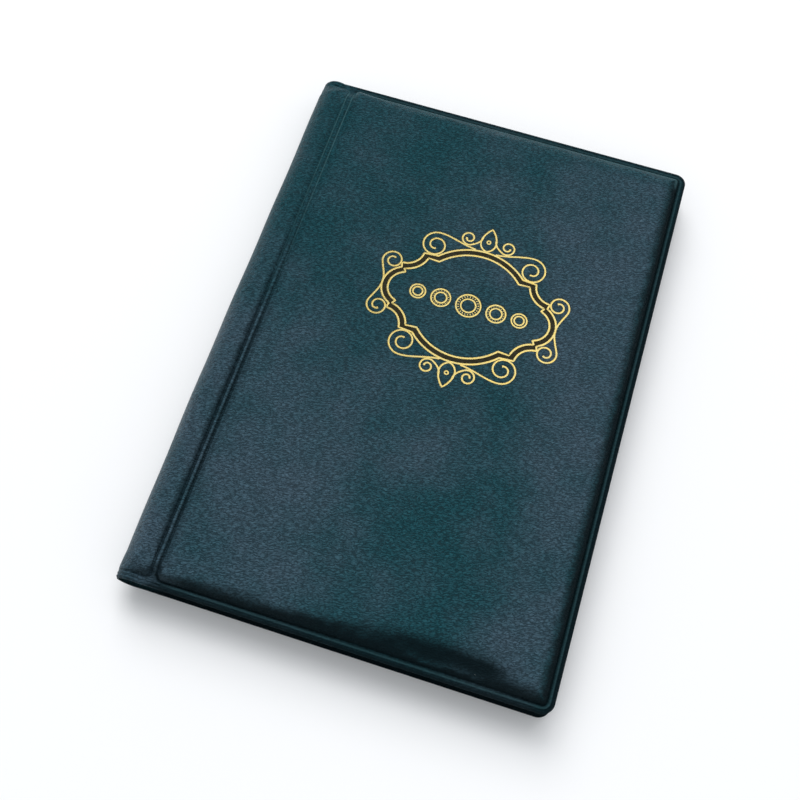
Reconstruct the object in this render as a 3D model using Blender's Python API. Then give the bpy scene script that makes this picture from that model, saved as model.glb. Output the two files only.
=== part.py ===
"""Coin album: a padded, welded PVC cover round ten pocket pages.

The album lies closed on its back cover. X runs from the spine to the fore edge, Y from the foot to
the head of the cover, and Z up through the thickness. The origin is under the middle of the album.
The front and back covers are the same meshes, turned over about the album's middle plane.
"""

import math

import bmesh
import bpy
from mathutils import Vector

MM = 0.001

# Driving dimensions
WIDTH = 140 * MM
HEIGHT = 200 * MM
THICKNESS = 16 * MM
COVER = 4 * MM  # one padded cover, from its inner face to its outer face
GUTTER = 12.3 * MM  # from the spine's outermost line to the welded gutter
PAGES = 10
COLUMNS = 3
ROWS = 4

# Layers of a cover, as heights above its inner face
LINER_TOP = 0.3 * MM
FLANGE_FLOOR = 0.5 * MM  # underside of the skin where it is welded to the liner
FLANGE_TOP = 1.0 * MM
BOARD_TOP = 1.7 * MM
FOAM_FLOOR = 1.9 * MM
LAYER_GAP = 0.2 * MM
SKIN = 0.5 * MM

# Outline
CORNER = 4 * MM  # at the fore edge
SQUARE = 0.3 * MM  # at the gutter, where the weld runs straight on
GROOVE = 2.4 * MM  # from the outer edge to the middle of the weld groove
WEB_HALF = 0.85 * MM  # half the ridge between the two grooves of a gutter
EDGE_HALF = 1.0 * MM  # from the gutter's middle to the panel or the shoulder beside it
GUTTER_GROOVE = 0.2 * MM  # from that edge to the middle of its groove

# Padding's rise across its edge: distance past the groove's middle, share of the full rise
PILLOW = ((-0.4, 0.0), (0.0, -0.08), (0.4, 0.03), (1.2, 0.40), (2.4, 0.73), (4.1, 0.93), (5.6, 1.0))

# Round spine
SPINE_RADIUS = THICKNESS / 2
INNER_RADIUS = SPINE_RADIUS - COVER
SPINE_FLARE = 2.6 * MM  # how far the welded edge stands out from the inner face at the fold
FOLD_GAP = 0.15 * MM  # from a fold's line to the solid on each side of it

# Pages
PAGE_PITCH = 0.74 * MM
PAGE_THICKNESS = 0.5 * MM
FILM = 0.15 * MM
RIB_GAP = 0.05 * MM  # between a weld rib and the back sheet under it
HINGE_STEP = 0.6 * MM  # each page folds this much further out than its outer neighbour
PAGE_HALF = 94 * MM
PAGE_EDGE = 66 * MM
PAGE_CORNER = 3 * MM
STUB_END = -49.5 * MM
FILM_START = -49.3 * MM
RIB = 1.2 * MM
MOUTH = 0.9 * MM
MOUTH_MARGIN = 1.6 * MM
THUMB_HALF = 7 * MM
THUMB_DEPTH = 4.5 * MM

# Binding
BLOCK_HALF = 3.35 * MM
BLOCK_LENGTH_HALF = 93 * MM
BLOCK_TO_HINGE = 0.45 * MM
LIP_DEPTH = 1.5 * MM
TAPE_INNER = 3.55 * MM
TAPE_OUTER = 3.8 * MM
TAPE_END = -59.5 * MM
STUB_TO_HINGE = 0.15 * MM

ARC_STEPS = 4  # segments of a rounded corner
SMOOTH_ANGLE = math.radians(40)

SPINE_X = -WIDTH / 2
GUTTER_X = SPINE_X + GUTTER
PANEL_X = GUTTER_X + EDGE_HALF
SHOULDER_X = GUTTER_X - EDGE_HALF
ROUND_X = SPINE_X + SPINE_RADIUS
SHOULDER_FLAT = SHOULDER_X - ROUND_X
HINGE_X = GUTTER_X
MIDDLE = Vector((0, 0, THICKNESS / 2))
INNER_FACE = THICKNESS / 2 - COVER  # of a cover, from the album's middle plane
FOLD_ANGLE = math.radians(45)  # from the shoulder's flat, round the spine, to a fold
FOLD_X = ROUND_X - SPINE_RADIUS * math.sin(FOLD_ANGLE)
FOLD_Z = SPINE_RADIUS * math.cos(FOLD_ANGLE)  # from the middle plane
WEB_MIDDLE = INNER_FACE + FLANGE_TOP / 2

TURNED_OVER = (math.pi, 0, 0)


# --- scene, materials and objects ---------------------------------------------------------------


def clear_scene():
    for obj in list(bpy.data.objects):
        bpy.data.objects.remove(obj)


def make_material(name, colour, roughness, alpha=1.0):
    material = bpy.data.materials.new(name)
    material.use_nodes = True
    shader = material.node_tree.nodes["Principled BSDF"]
    shader.inputs["Base Color"].default_value = (*colour, 1)
    shader.inputs["Roughness"].default_value = roughness
    shader.inputs["Metallic"].default_value = 0
    shader.inputs["Alpha"].default_value = alpha
    return material


def make_body(name, pivot, parent=None):
    """An empty on a body's joint axis. Its location is relative to its parent's."""
    empty = bpy.data.objects.new(name, None)
    empty.empty_display_size = 5 * MM
    bpy.context.scene.collection.objects.link(empty)
    empty["pivot"] = pivot
    if parent:
        empty.parent = parent
        empty.location = pivot - Vector(parent["pivot"])
    else:
        empty.location = pivot
    return empty


def add_piece(name, mesh, material, body, at, rotation=(0, 0, 0)):
    """A named object whose mesh is drawn round the point at, carried by a body's empty."""
    obj = bpy.data.objects.new(name, mesh)
    if not mesh.materials:
        mesh.materials.append(material)
    obj.parent = body
    obj.location = at - Vector(body["pivot"])
    obj.rotation_euler = rotation
    bpy.context.scene.collection.objects.link(obj)
    return obj


def finish_mesh(name, bm, smooth=True):
    bmesh.ops.recalc_face_normals(bm, faces=bm.faces)
    mesh = bpy.data.meshes.new(name)
    bm.to_mesh(mesh)
    bm.free()
    if smooth:
        mesh.shade_smooth()
        mesh.set_sharp_from_angle(angle=SMOOTH_ANGLE)
    return mesh


# --- mesh makers --------------------------------------------------------------------------------


def rounded_ring(x_low, x_high, y_half, radius_low, radius_high, z):
    """A rectangle with rounded corners, counter-clockwise from the fore edge's head corner."""
    corners = (
        (x_high - radius_high, y_half - radius_high, radius_high, 0),
        (x_low + radius_low, y_half - radius_low, radius_low, 90),
        (x_low + radius_low, radius_low - y_half, radius_low, 180),
        (x_high - radius_high, radius_high - y_half, radius_high, 270),
    )
    ring = []
    for x, y, radius, start in corners:
        for step in range(ARC_STEPS + 1):
            turn = math.radians(start + 90 * step / ARC_STEPS)
            ring.append((x + radius * math.cos(turn), y + radius * math.sin(turn), z))
    return ring


def loft(name, rings, smooth=True):
    """A closed solid through rings of equal length, capped at the first and the last."""
    bm = bmesh.new()
    lines = [[bm.verts.new(point) for point in ring] for ring in rings]
    for low, high in zip(lines, lines[1:]):
        for i in range(len(low)):
            j = (i + 1) % len(low)
            bm.faces.new((low[i], low[j], high[j], high[i]))
    bm.faces.new(lines[0])
    bm.faces.new(lines[-1])
    return finish_mesh(name, bm, smooth)


def prism(name, outline, length_half):
    """An outline in the X-Z plane, drawn out along Y."""
    ends = [[(x, y, z) for x, z in outline] for y in (-length_half, length_half)]
    return loft(name, ends)


def thick_sheet(name, outer, inner):
    """A closed solid between two grids of points with the same rows and columns."""
    bm = bmesh.new()
    grids = [[[bm.verts.new(p) for p in row] for row in grid] for grid in (outer, inner)]
    rows, columns = len(outer), len(outer[0])
    for grid in grids:
        for i in range(rows - 1):
            for j in range(columns - 1):
                corners = (grid[i][j], grid[i][j + 1], grid[i + 1][j + 1], grid[i + 1][j])
                bm.faces.new(corners)
    border = [(0, j) for j in range(columns)]
    border += [(i, columns - 1) for i in range(1, rows)]
    border += [(rows - 1, j) for j in range(columns - 2, -1, -1)]
    border += [(i, 0) for i in range(rows - 2, 0, -1)]
    for (i, j), (k, m) in zip(border, border[1:] + border[:1]):
        bm.faces.new((grids[0][i][j], grids[0][k][m], grids[1][k][m], grids[1][i][j]))
    return finish_mesh(name, bm)


# --- the padded panel of a cover ----------------------------------------------------------------


def panel_ring(inset, gutter_inset, height, radius=CORNER, gutter_radius=SQUARE):
    """A ring of the panel: inset from three edges, gutter_inset from the fourth."""
    x_low, x_high = PANEL_X + gutter_inset, WIDTH / 2 - inset
    z = INNER_FACE + height
    return rounded_ring(x_low, x_high, HEIGHT / 2 - inset, gutter_radius, radius, z)


def panel_skin_mesh():
    """The grained outer skin: a flat welded edge, a groove, and the swell over the padding."""
    full = COVER - FLANGE_TOP
    rings = [
        panel_ring(8.0 * MM, 5.8 * MM, COVER - SKIN, 4 * MM, 4 * MM),
        panel_ring(6.8 * MM, 4.6 * MM, 3.3 * MM, 3 * MM, 3 * MM),
        panel_ring(5.3 * MM, 3.1 * MM, 2.7 * MM, 3 * MM, 3 * MM),
        panel_ring(4.2 * MM, 2.0 * MM, BOARD_TOP, 3 * MM, 3 * MM),
        panel_ring(3.3 * MM, 1.1 * MM, FLANGE_FLOOR, 3 * MM, 2.5 * MM),
        panel_ring(0, 0, FLANGE_FLOOR),
        panel_ring(0, 0, FLANGE_TOP - 0.15 * MM),
        panel_ring(0.15 * MM, 0.05 * MM, FLANGE_TOP, CORNER - 0.15 * MM),
    ]
    for distance, rise in PILLOW:
        inset = GROOVE + distance * MM
        gutter_inset = max(GUTTER_GROOVE + distance * MM, 0.1 * MM)
        radius = (3.0 + 0.2 * distance) * MM
        gutter_radius = (2.2 + 0.3 * distance) * MM
        height = FLANGE_TOP + full * rise
        rings.append(panel_ring(inset, gutter_inset, height, radius, gutter_radius))
    return loft("panel_skin", rings)


def panel_foam_mesh():
    steps = ((4.9, FOAM_FLOOR), (5.7, 2.55 * MM), (7.0, 3.05 * MM), (8.2, COVER - SKIN - LAYER_GAP))
    to_gutter = GROOVE - GUTTER_GROOVE
    rings = [
        panel_ring(inset * MM, inset * MM - to_gutter, height, 3 * MM, 3 * MM)
        for inset, height in steps
    ]
    return loft("panel_foam", rings)


def panel_plate_mesh(name, inset, gutter_inset, floor, top, radius, gutter_radius):
    rings = [panel_ring(inset, gutter_inset, z, radius, gutter_radius) for z in (floor, top)]
    return loft(name, rings)


# --- the padded strip round the spine -----------------------------------------------------------


def rise_at(distance):
    """Share of the padding's full rise at a distance past the groove's middle."""
    for (d0, r0), (d1, r1) in zip(PILLOW, PILLOW[1:]):
        if distance <= d1 * MM:
            share = max(0, (distance - d0 * MM) / ((d1 - d0) * MM))
            return r0 + (r1 - r0) * share
    return PILLOW[-1][1]


def strip_angle(along):
    """Angle round the spine of a place along the strip, from the shoulder's flat."""
    return max(0, along - SHOULDER_FLAT) / SPINE_RADIUS


def strip_point(along, y, height):
    """A point of the strip: along it from the gutter, and a height above its inner face."""
    angle = strip_angle(along)
    x = ROUND_X + max(0, SHOULDER_FLAT - along)
    reach = INNER_RADIUS + height
    return (x - reach * math.sin(angle), y, reach * math.cos(angle))


def edge_rise(y):
    return rise_at(HEIGHT / 2 - abs(y) - GROOVE)


def inner_height(along, y):
    """Where the strip's inner face is: flared out at its two welded ends."""
    flare = SPINE_FLARE * math.sin(strip_angle(along))
    return flare * (1 - min(1, max(0, edge_rise(y))))


def outer_height(along, y):
    flare = SPINE_FLARE * math.sin(strip_angle(along))
    rise = min(rise_at(along - GUTTER_GROOVE), edge_rise(y))
    return flare + FLANGE_TOP + (COVER - FLANGE_TOP - flare) * rise


def strip_layer(name, stations, ys, floor, top):
    """One layer of the strip, between two height functions."""
    outer = [[strip_point(s, y, top(s, y)) for y in ys] for s in stations]
    inner = [[strip_point(s, y, floor(s, y)) for y in ys] for s in stations]
    return thick_sheet(name, outer, inner)


def skin_floor(along, y):
    lowest = inner_height(along, y) + FLANGE_FLOOR
    return max(lowest, outer_height(along, y) - SKIN)


def foam_floor(along, y):
    return inner_height(along, y) + FLANGE_FLOOR


def foam_top(along, y):
    return outer_height(along, y) - SKIN - LAYER_GAP


def liner_top(along, y):
    return inner_height(along, y) + LINER_TOP


def both_ways(insets):
    """Stations across the album's height, from the foot to the head."""
    low = [inset * MM - HEIGHT / 2 for inset in insets]
    return low + [-y for y in reversed(low)]


def spread(start, end, count):
    return [start + (end - start) * i / (count - 1) for i in range(count)]


def strip_meshes():
    """Skin, foam and liner of a shoulder and of the spine between the two folds."""
    fold = SHOULDER_FLAT + SPINE_RADIUS * FOLD_ANGLE
    far_fold = SHOULDER_FLAT + SPINE_RADIUS * (math.pi - FOLD_ANGLE)
    edge_ys = both_ways([0] + [GROOVE / MM + d for d, _ in PILLOW])
    foam_ys = both_ways((5.0, 6.5, 8.0))
    liner_ys = both_ways((0.05, 2.4, 3.6, 4.8, 6.5, 8.0))
    end = fold - FOLD_GAP
    skin_steps = [0, GUTTER_GROOVE] + [GUTTER_GROOVE + d * MM for d, _ in PILLOW[2:]]
    skin_steps += [7.7 * MM, end]
    foam_steps = [2.8 * MM] + spread(SHOULDER_FLAT + 0.5 * MM, end, 5)
    liner_steps = [0] + spread(SHOULDER_FLAT, end, 5)
    spine_steps = spread(fold + FOLD_GAP, far_fold - FOLD_GAP, 7)
    found = {}
    for part, skin_at, foam_at, liner_at in (
        ("shoulder", skin_steps, foam_steps, liner_steps),
        ("spine", spine_steps, spine_steps, spine_steps),
    ):
        found[part, "skin"] = strip_layer(f"{part}_skin", skin_at, edge_ys, skin_floor, outer_height)
        found[part, "foam"] = strip_layer(f"{part}_foam", foam_at, foam_ys, foam_floor, foam_top)
        found[part, "liner"] = strip_layer(
            f"{part}_liner", liner_at, liner_ys, inner_height, liner_top
        )
    return found


def gutter_web_mesh():
    """The ridge of skin welded to liner that flexes between the two grooves."""
    x, low, high = WEB_HALF, INNER_FACE, INNER_FACE + FLANGE_TOP
    chamfer = 0.25 * MM
    outline = [(-x, low), (x, low), (x, high - chamfer), (x - chamfer, high)]
    outline += [(chamfer - x, high), (-x, high - chamfer)]
    outline = [(GUTTER_X + px, pz) for px, pz in outline]
    return prism("gutter_web", outline, HEIGHT / 2)


# --- binding and pages --------------------------------------------------------------------------


def page_height(number):
    """A page's middle, above the album's middle plane. Page 1 is next to the back cover."""
    return (number - (PAGES + 1) / 2) * PAGE_PITCH


def page_hinge_x(number):
    return HINGE_X + HINGE_STEP * min(number - 1, PAGES - number)


def block_mesh():
    """The pages' margins fused into one block: a round back, and a lip for each page in front."""
    lip_half = PAGE_THICKNESS / 2
    outline = []
    for number in range(1, PAGES + 1):
        tip = page_hinge_x(number) - BLOCK_TO_HINGE
        z = page_height(number)
        if number > 1:
            outline.append((tip - LIP_DEPTH, z - lip_half))
        outline += [(tip, max(z - lip_half, -BLOCK_HALF)), (tip, min(z + lip_half, BLOCK_HALF))]
        if number < PAGES:
            outline.append((tip - LIP_DEPTH, z + lip_half))
    for angle in spread(0, math.pi, 9):
        x = ROUND_X - BLOCK_HALF * math.sin(angle)
        outline.append((x, BLOCK_HALF * math.cos(angle)))
    return prism("page_block", outline, BLOCK_LENGTH_HALF)


def tape_mesh():
    """The PVC tape that wraps the block and joins it to the spine's liner."""
    outline = []
    for radius, angles in ((TAPE_OUTER, (0, math.pi)), (TAPE_INNER, (math.pi, 0))):
        arc = [
            (ROUND_X - radius * math.sin(angle), radius * math.cos(angle))
            for angle in spread(*angles, 9)
        ]
        start, end = arc[0], arc[-1]
        outline += [(TAPE_END, start[1]), *arc, (TAPE_END, end[1])]
    return prism("binding_tape", outline, BLOCK_LENGTH_HALF)


def page_ring(start, z, corner_low=SQUARE):
    return rounded_ring(start, PAGE_EDGE, PAGE_HALF, corner_low, PAGE_CORNER, z)


def back_sheet_mesh():
    floor = -PAGE_THICKNESS / 2
    return loft("back_sheet", [page_ring(FILM_START, z) for z in (floor, floor + FILM)])


def stub_mesh(number):
    """The opaque strip that a page's films are welded to, from its hinge line outwards."""
    start = page_hinge_x(number) + STUB_TO_HINGE
    half = PAGE_THICKNESS / 2
    rings = [
        rounded_ring(start, STUB_END, PAGE_HALF - PAGE_CORNER, SQUARE, SQUARE, z)
        for z in (-half, half)
    ]
    return loft(f"stub_{number:02d}", rings, smooth=False)


def pocket_cells():
    """Low and high corner of each pocket, between the weld ribs."""
    width = (PAGE_EDGE - FILM_START - RIB) / COLUMNS
    height = (2 * PAGE_HALF - RIB) / ROWS
    for column in range(COLUMNS):
        for row in range(ROWS):
            x = FILM_START + RIB + column * width
            y = RIB - PAGE_HALF + row * height
            yield (x, y), (x + width - RIB, y + height - RIB)


def add_cutter_block(bm, outline, low, high):
    """A closed prism along Z, added to a cutter's mesh."""
    ends = [[bm.verts.new((x, y, z)) for x, y in outline] for z in (low, high)]
    for i in range(len(outline)):
        j = (i + 1) % len(outline)
        bm.faces.new((ends[0][i], ends[0][j], ends[1][j], ends[1][i]))
    bm.faces.new(ends[0])
    bm.faces.new(ends[1])


def mouth_outline(low, high):
    """The slit along a pocket's head with a thumb notch in the edge of its film."""
    left, right = low[0] + MOUTH_MARGIN, high[0] - MOUTH_MARGIN
    head = high[1]
    lip = head - MOUTH
    middle = (left + right) / 2
    outline = [(left, head), (left, lip)]
    for angle in spread(math.pi, 2 * math.pi, 7):
        x = middle + THUMB_HALF * math.cos(angle)
        outline.append((x, lip + THUMB_DEPTH * math.sin(angle)))
    return outline + [(right, lip), (right, head)]


def make_cutter(name, outlines, low, high):
    bm = bmesh.new()
    for outline in outlines:
        add_cutter_block(bm, outline, low, high)
    cutter = bpy.data.objects.new(name, finish_mesh(name, bm, smooth=False))
    cutter.hide_render = True
    cutter.display_type = "WIRE"
    bpy.context.scene.collection.objects.link(cutter)
    return cutter


def pocket_film_mesh():
    """The front film: weld ribs under it round each pocket, and a mouth cut at each one's head."""
    top = PAGE_THICKNESS / 2
    floor = FILM - PAGE_THICKNESS / 2 + RIB_GAP
    plate = loft("pocket_film", [page_ring(FILM_START, z) for z in (floor, top)], smooth=False)
    cells = list(pocket_cells())
    recesses = [((a[0], a[1]), (b[0], a[1]), (b[0], b[1]), (a[0], b[1])) for a, b in cells]
    mouths = [mouth_outline(a, b) for a, b in cells]
    recess_cutter = make_cutter("recess_cutter", recesses, floor - 1 * MM, top - FILM)
    mouth_cutter = make_cutter("mouth_cutter", mouths, floor - 2 * MM, top + 2 * MM)
    blank = bpy.data.objects.new("pocket_film_blank", plate)
    bpy.context.scene.collection.objects.link(blank)
    for cutter in (recess_cutter, mouth_cutter):
        cut = blank.modifiers.new(cutter.name, "BOOLEAN")
        cut.object = cutter
        cut.operation = "DIFFERENCE"
        cut.solver = "EXACT"
    graph = bpy.context.evaluated_depsgraph_get()
    mesh = bpy.data.meshes.new_from_object(blank.evaluated_get(graph))
    mesh.name = "pocket_film"
    for helper in (blank, recess_cutter, mouth_cutter):
        bpy.data.objects.remove(helper)
    return mesh


# --- the album ----------------------------------------------------------------------------------


def make_materials():
    return {
        "skin": make_material("cover_skin", (0.022, 0.055, 0.066), 0.45),
        "liner": make_material("cover_liner", (0.016, 0.038, 0.046), 0.5),
        "board": make_material("greyboard", (0.30, 0.27, 0.22), 0.9),
        "foam": make_material("foam", (0.62, 0.62, 0.60), 0.95),
        "tape": make_material("binding_tape", (0.012, 0.028, 0.034), 0.5),
        "stub": make_material("page_stub", (0.72, 0.73, 0.72), 0.45),
        "sheet": make_material("page_back", (0.74, 0.76, 0.76), 0.35),
        "film": make_material("page_film", (0.80, 0.86, 0.90), 0.12, alpha=0.3),
    }


def add_covers(bodies, paint):
    """Both covers: the same meshes, with the back ones turned over."""
    panel = {
        "skin": panel_skin_mesh(),
        "foam": panel_foam_mesh(),
        "board": panel_plate_mesh(
            "panel_board", 4.5 * MM, 2.3 * MM, FLANGE_FLOOR, BOARD_TOP, 2.5 * MM, 2.5 * MM
        ),
        "liner": panel_plate_mesh(
            "panel_liner", 0.05 * MM, 0.05 * MM, 0, LINER_TOP, CORNER, SQUARE
        ),
    }
    strip = strip_meshes()
    web = gutter_web_mesh()
    sides = (
        ("front", bodies["front_cover"], bodies["front_shoulder"], (0, 0, 0)),
        ("back", bodies["back_cover"], bodies["back_cover"], TURNED_OVER),
    )
    for side, panel_body, shoulder_body, turn in sides:
        for layer, mesh in panel.items():
            add_piece(f"{side}_panel_{layer}", mesh, paint[layer], panel_body, MIDDLE, turn)
        for layer in ("skin", "foam", "liner"):
            mesh = strip["shoulder", layer]
            add_piece(f"{side}_shoulder_{layer}", mesh, paint[layer], shoulder_body, MIDDLE, turn)
        add_piece(f"{side}_gutter_weld", web, paint["skin"], shoulder_body, MIDDLE, turn)
    for layer in ("skin", "foam", "liner"):
        add_piece(f"spine_{layer}", strip["spine", layer], paint[layer], bodies["spine"], MIDDLE)


def add_pages(bodies, paint):
    add_piece("page_block", block_mesh(), paint["stub"], bodies["spine"], MIDDLE)
    add_piece("binding_tape", tape_mesh(), paint["tape"], bodies["spine"], MIDDLE)
    back_sheet, pocket_film = back_sheet_mesh(), pocket_film_mesh()
    for number in range(1, PAGES + 1):
        at = MIDDLE + Vector((0, 0, page_height(number)))
        name = f"page_{number:02d}"
        pivot = Vector((page_hinge_x(number), 0, at.z))
        body = make_body(f"{name}_body", pivot, bodies["spine"])
        add_piece(f"{name}_stub", stub_mesh(number), paint["stub"], body, at)
        add_piece(f"{name}_back_sheet", back_sheet, paint["sheet"], body, at)
        add_piece(f"{name}_pocket_film", pocket_film, paint["film"], body, at)


def make_album():
    clear_scene()
    paint = make_materials()
    back_cover = make_body("back_cover_body", Vector((0, 0, 0)))
    spine = make_body("spine_body", MIDDLE + Vector((FOLD_X, 0, -FOLD_Z)), back_cover)
    shoulder = make_body("front_shoulder_body", MIDDLE + Vector((FOLD_X, 0, FOLD_Z)), spine)
    front = make_body("front_cover_body", MIDDLE + Vector((GUTTER_X, 0, WEB_MIDDLE)), shoulder)
    bodies = {
        "back_cover": back_cover,
        "spine": spine,
        "front_shoulder": shoulder,
        "front_cover": front,
    }
    add_covers(bodies, paint)
    add_pages(bodies, paint)


make_album()
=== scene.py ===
"""The looks of the coin album: grained padded covers, a foil ornament and welded pocket pages.

Lengths are in millimetres until a mesh is made. The cover is one sheet of material that runs from
the front cover's fore edge, over its gutter, round the spine and on to the back cover's fore edge.
A place on that sheet is (along, y): along is 0 on the spine's outermost line, positive towards the
front cover's fore edge and negative towards the back cover's.
"""

import math

import bpy
import numpy as np
from mathutils import Matrix, Vector, kdtree


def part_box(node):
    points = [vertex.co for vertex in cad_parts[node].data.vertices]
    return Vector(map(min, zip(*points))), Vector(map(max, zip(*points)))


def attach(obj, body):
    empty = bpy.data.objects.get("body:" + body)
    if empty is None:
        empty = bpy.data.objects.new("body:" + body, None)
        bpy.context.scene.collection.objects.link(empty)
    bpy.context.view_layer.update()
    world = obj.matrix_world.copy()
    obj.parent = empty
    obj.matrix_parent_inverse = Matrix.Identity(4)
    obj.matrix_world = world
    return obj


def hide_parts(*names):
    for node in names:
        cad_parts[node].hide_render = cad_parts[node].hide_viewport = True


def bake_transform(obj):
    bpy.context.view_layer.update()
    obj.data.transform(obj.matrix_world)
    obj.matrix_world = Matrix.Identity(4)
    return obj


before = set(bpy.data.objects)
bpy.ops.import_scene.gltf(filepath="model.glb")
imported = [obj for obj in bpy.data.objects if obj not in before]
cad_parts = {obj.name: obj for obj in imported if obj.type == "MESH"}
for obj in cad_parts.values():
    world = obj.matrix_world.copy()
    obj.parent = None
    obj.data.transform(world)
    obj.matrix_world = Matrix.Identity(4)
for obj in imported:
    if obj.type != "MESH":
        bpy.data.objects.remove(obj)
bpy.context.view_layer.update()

MM = 0.001


def box_mm(node):
    low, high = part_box(node)
    return np.array(low) / MM, np.array(high) / MM


# --- sizes taken from the frame -----------------------------------------------------------------

PANEL_HIGH = box_mm("front_panel_skin")[1]
LINER_LOW = box_mm("front_panel_liner")[0]
WELD_LOW, WELD_HIGH = box_mm("front_gutter_weld")
BOARD_LOW, BOARD_HIGH = box_mm("front_panel_board")
FOAM_HIGH = box_mm("front_panel_foam")[1]
SPINE_LOW = box_mm("spine_skin")[0]
FILM_LOW, FILM_HIGH = box_mm("page_01_pocket_film")

THICKNESS = PANEL_HIGH[2]
Y_HALF = PANEL_HIGH[1]
FORE_EDGE = PANEL_HIGH[0]
MIDDLE = THICKNESS / 2
INNER_FACE = LINER_LOW[2] - MIDDLE  # of a cover, from the album's middle plane
COVER = MIDDLE - INNER_FACE
ROUND_X = SPINE_LOW[0] + MIDDLE  # where the round of the spine begins
GUTTER_X = (WELD_LOW[0] + WELD_HIGH[0]) / 2
QUARTER = MIDDLE * math.pi / 2  # from the spine's outermost line to the flat of a cover

# --- the cover's relief, in the sheet's own directions ------------------------------------------

GROOVE_TO_GUTTER = 1.05  # from the gutter's middle to each of its two grooves
GUTTER = QUARTER + GUTTER_X - ROUND_X
STRIP_END = GUTTER - GROOVE_TO_GUTTER
PANEL_START = GUTTER + GROOVE_TO_GUTTER
SHEET_END = QUARTER + FORE_EDGE - ROUND_X
BEND_START = QUARTER  # the gutter's flexible stretch reaches from here to the board
BEND_END = QUARTER + BOARD_LOW[0] - 0.2 - ROUND_X
LINER_LIFT = 0.3  # of the liner towards the gutter's weld
LIFT_RAMP = 1.3
CORNER = 4.0
STRIP_CORNER = 2.0  # of the spine padding's outline
PANEL_CORNER = 2.2  # of the panel padding's outline, beside the gutter
FLANGE = 2.4  # from the outer edge to the middle of the weld groove
FLANGE_TOP = 1.0
LINER = 0.3
SKIN = 0.5
WELD_FLOOR = 0.5  # of the skin's inner face, where it is welded to the liner
WELD_MARK = 0.14  # of the weld's line on the liner
SEAM = 0.05  # width of the first row beside a seam, which makes the shading run on across it
FLARE = 2.9  # how far the spine's welded ends stand out from the inner face at its outermost line
SKIN_TO_FOAM = 0.15  # gap between the skin and its padding
FOAM_TO_BOARD = 0.1
THINNEST_FOAM = 0.1
FOAM_INSET = FORE_EDGE - FOAM_HIGH[0]
GROOVE_WIDTH = 0.32
GROOVE_DEPTH = 0.46
RIDGE = 0.16
RIDGE_WIDTH = 0.62
PANEL_ROLL = 6.4  # from a weld groove to the padding's full height
STRIP_ROLL = 2.4
STRIP_END_ROLL = 5.0  # more than STRIP_ROLL, at the spine's two ends
GUTTER_ROLL = 3.2
GUTTER_RISE = 0.76  # of the padding's full rise, between and beside the gutter's two grooves
BEAD = 1.15  # from the outer edge to the second, narrow groove of the weld
BEAD_DEPTH = 0.26
BEAD_WIDTH = 0.26
MARK_WIDTH = 0.24  # of the painted highlight lines along the welds
BEAD_MARK = 1.75  # from the outer edge to the painted highlight line beside the bead
RIM_MARK = 1.1  # from the head's weld groove to the painted highlight line on the padding
EDGE_ROUND = 0.5
EDGE_ROUND_WIDTH = 0.8
CROWN = 0.35
SWELL = 0.24
SWELL_LENGTH = 62
PUCKER = 0.09
PUCKER_LENGTH = 7
FOLD_DEPTH = 1.35  # of the one place where the padding is crushed
FOLD_WIDTH = 3.6


def bell(distance, width):
    return np.exp(-((distance / width) ** 2))


def smooth(low, high, value):
    """0 at low and beyond, 1 at high and beyond, and a smooth step between them."""
    t = np.clip((value - low) / (high - low), 0, 1)
    return t * t * (3 - 2 * t)


def waves(x, y, length, seed, count=9):
    """A soft random swell about 0, with waves about length long."""
    rng = np.random.default_rng(seed)
    total = np.zeros_like(x)
    for _ in range(count):
        turn, phase = rng.uniform(0, 2 * math.pi, 2)
        wave = 2 * math.pi / (length * rng.uniform(0.6, 1.7))
        total += np.sin(wave * (x * math.cos(turn) + y * math.sin(turn)) + phase)
    return total / math.sqrt(count)


def inside_distance(x, y, x_low, x_high, y_half, r_low, r_high):
    """Distance inwards from the edge of a rectangle with rounded corners."""
    middle, half = (x_low + x_high) / 2, (x_high - x_low) / 2
    radius = np.where(x < middle, r_low, r_high)
    dx = np.abs(x - middle) - half + radius
    dy = np.abs(y) - y_half + radius
    outside = np.hypot(np.maximum(dx, 0), np.maximum(dy, 0))
    return radius - outside - np.minimum(np.maximum(dx, dy), 0)


def strip_inside(along, y):
    """Distance inwards from the weld groove round the spine's padding."""
    return inside_distance(
        along, y, -STRIP_END, STRIP_END, Y_HALF - FLANGE, STRIP_CORNER, STRIP_CORNER
    )


def panel_inside(along, y):
    """Distance inwards from the weld groove round a cover's padding."""
    fore_groove, end_groove = SHEET_END - FLANGE, Y_HALF - FLANGE
    return inside_distance(
        np.abs(along), y, PANEL_START, fore_groove, end_groove, PANEL_CORNER, CORNER - FLANGE
    )


def edge_inside(along, y):
    """Distance inwards from the sheet's outer edge."""
    return inside_distance(np.abs(along), y, -SHEET_END, SHEET_END, Y_HALF, CORNER, CORNER)


def swell(distance, roll):
    """Share of the padding's full rise at a distance inside its weld groove."""
    return 1 - (1 - np.clip(distance / roll, 0, 1)) ** 2.5


def spine_angle(along):
    """Angle round the spine from a cover's flat: 90 degrees on the spine's outermost line."""
    return np.maximum(0, QUARTER - np.abs(along)) / MIDDLE


def end_flare(along):
    return FLARE * np.sin(spine_angle(along)) ** 1.3


def inner_flare(along, y):
    """The flare of the inner layers, which fades out under the padding."""
    return end_flare(along) * (1 - swell(Y_HALF - FLANGE - np.abs(y), PANEL_ROLL))


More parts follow.
